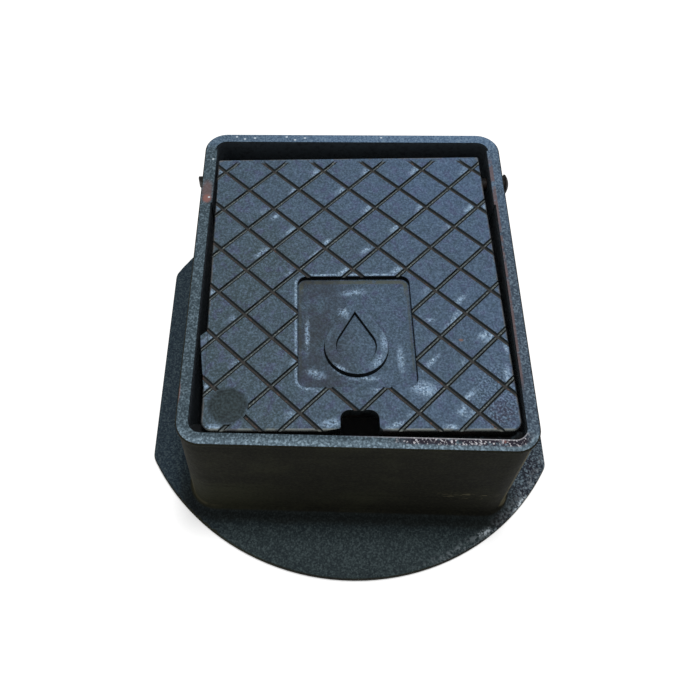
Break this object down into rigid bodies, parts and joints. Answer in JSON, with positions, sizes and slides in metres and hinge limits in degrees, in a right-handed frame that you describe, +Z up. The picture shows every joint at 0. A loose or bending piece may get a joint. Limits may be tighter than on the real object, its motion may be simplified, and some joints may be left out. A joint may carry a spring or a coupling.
{
  "type": "surface box",
  "caption": "Cast surface box: rectangular frame on a round flange, with a flush hinged lid that has a cross-grooved tread, a sunk panel and a lifting slot.",
  "frame": {"origin": "centre of the round base flange, on its underside", "axes": "+Z up through the lid, +Y towards the hinge, -Y towards the lifting slot, +X to the right as seen from the slot's side"},
  "size_m": [0.2244, 0.258, 0.092],
  "materials": {
    "coated_frame": "black bitumen coating, satin, worn at the edges",
    "coated_lid": "black bitumen coating, satin, scuffed bluish grey on top",
    "dark_steel": "dull, coated with the box, brown with rust at the ends"
  },
  "bodies": {
    "frame": {"frame": "coated_frame", "hinge_pin": "dark_steel"},
    "lid": {"lid": "coated_lid"}
  },
  "joints": [
    {"name": "lid_hinge", "type": "hinge", "parent": "frame", "child": "lid", "pos_m": [0, 0.0786, 0.08], "axis": [-1, 0, 0], "range_deg": [0, 120]}
  ]
}
